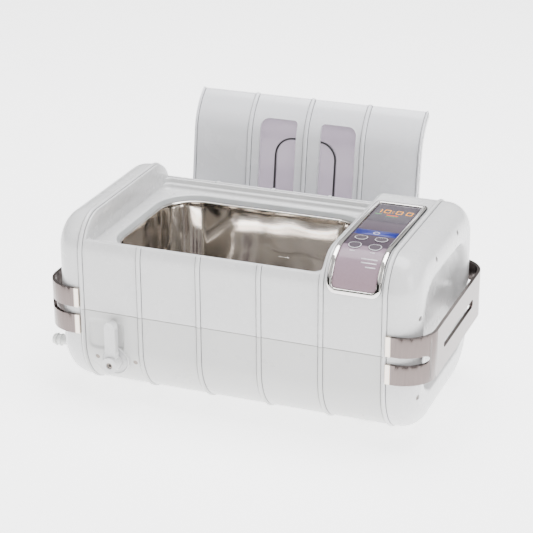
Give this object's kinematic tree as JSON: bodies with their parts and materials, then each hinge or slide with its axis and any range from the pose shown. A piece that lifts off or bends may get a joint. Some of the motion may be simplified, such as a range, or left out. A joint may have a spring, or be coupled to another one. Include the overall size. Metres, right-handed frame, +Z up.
{
  "type": "ultrasonic cleaner",
  "caption": "Table-top ultrasonic cleaner with ribbed casing, steel tank, sloping console, drain valve, carrying straps and a lift-off lid parked behind.",
  "frame": {"origin": "centre of the casing's flat underside, 5 mm above the surface that the feet stand on", "axes": "+X along the casing to the right, seen from the front; +Y to the back; +Z up"},
  "size_m": [0.43, 0.2899, 0.271],
  "materials": {
    "casing_plastic": "pale cool grey, semi-gloss moulded",
    "casing_light": "pale grey, semi-gloss moulded",
    "lid_plastic": "pale grey, glossy moulded",
    "polished_steel": "mirror-polished stainless steel",
    "satin_nickel": "satin-brushed nickel plate",
    "chrome_trim": "bright chrome plate",
    "smoked_face": "smoked glossy overlay",
    "smoked_window": "smoked translucent acrylic",
    "key_plastic": "smoked membrane key",
    "gasket_grey": "soft grey silicone",
    "black_rubber": "matt black rubber",
    "black_plastic": "fine-textured black",
    "zinc_steel": "zinc-plated steel",
    "dark_screw": "darkened steel",
    "valve_plastic": "white moulded nylon",
    "aluminium": "turned aluminium",
    "circuit_board": "solder-masked board",
    "board_part": "mixed electronic parts",
    "heater_silicone": "orange silicone pad",
    "display_glass": "dark display window"
  },
  "bodies": {
    "cleaner": {"lower_casing": "casing_plastic", "upper_casing": "casing_light", "deck_panel": "casing_light", "left_end_cap": "casing_light", "right_end_cap": "casing_light", "end_cap_screws": "dark_screw", "tank": "polished_steel", "tank_gasket": "gasket_grey", "heater_pad": "heater_silicone", "temperature_sensor": "zinc_steel", "left_transducer": "aluminium", "right_transducer": "aluminium", "console_frame": "chrome_trim", "console_face": "smoked_face", "display_module": "display_glass", "control_board": "circuit_board", "driver_board": "circuit_board", "board_parts": "board_part", "fan_frame": "black_plastic", "fan_screws": "zinc_steel", "left_handle": "satin_nickel", "right_handle": "satin_nickel", "handle_studs": "zinc_steel", "handle_nuts": "zinc_steel", "valve_body": "valve_plastic", "drain_dial": "casing_light", "valve_screws": "dark_screw", "drain_pipe": "valve_plastic", "outlet_pipe": "valve_plastic", "hose_nozzle": "valve_plastic", "mains_inlet": "black_plastic", "inlet_pins": "zinc_steel", "inlet_screws": "zinc_steel", "feet": "black_rubber", "foot_screws": "zinc_steel", "lid_holders": "casing_light", "lid_holder_screws": "zinc_steel"},
    "lid": {"lid_shell": "lid_plastic", "lid_window": "smoked_window", "lid_bead": "black_rubber", "lid_window_clips": "valve_plastic"},
    "drain_lever": {"drain_lever": "casing_light", "lever_screw": "dark_screw", "valve_stem": "zinc_steel", "valve_ball": "polished_steel"},
    "fan_rotor": {"fan_rotor": "black_plastic"},
    "on_off_key": {"on_off_key": "key_plastic"},
    "heat_key": {"heat_key": "key_plastic"},
    "time_up_key": {"time_up_key": "key_plastic"},
    "time_down_key": {"time_down_key": "key_plastic"}
  },
  "joints": [
    {"name": "lid_lift", "type": "slide", "parent": "cleaner", "child": "lid", "axis": [0, 0.1478, 0.989], "range_m": [0, 0.17]},
    {"name": "drain_turn", "type": "hinge", "parent": "cleaner", "child": "drain_lever", "pos_m": [-0.1286, -0.074, 0.0443], "axis": [0, 1, 0], "range_deg": [0, 90]},
    {"name": "fan_spin", "type": "hinge", "parent": "cleaner", "child": "fan_rotor", "pos_m": [0.132, 0, 0.014], "axis": [0, 0, 1], "continuous": true},
    {"name": "on_off_press", "type": "slide", "parent": "cleaner", "child": "on_off_key", "axis": [0, 0, -1], "range_m": [0, 0.0008], "stiffness_N_per_m": 600, "springref_m": -0.0004},
    {"name": "heat_press", "type": "slide", "parent": "cleaner", "child": "heat_key", "axis": [0, 0, -1], "range_m": [0, 0.0008], "stiffness_N_per_m": 600, "springref_m": -0.0004},
    {"name": "time_up_press", "type": "slide", "parent": "cleaner", "child": "time_up_key", "axis": [0, 0, -1], "range_m": [0, 0.0008], "stiffness_N_per_m": 600, "springref_m": -0.0004},
    {"name": "time_down_press", "type": "slide", "parent": "cleaner", "child": "time_down_key", "axis": [0, 0, -1], "range_m": [0, 0.0008], "stiffness_N_per_m": 600, "springref_m": -0.0004}
  ]
}
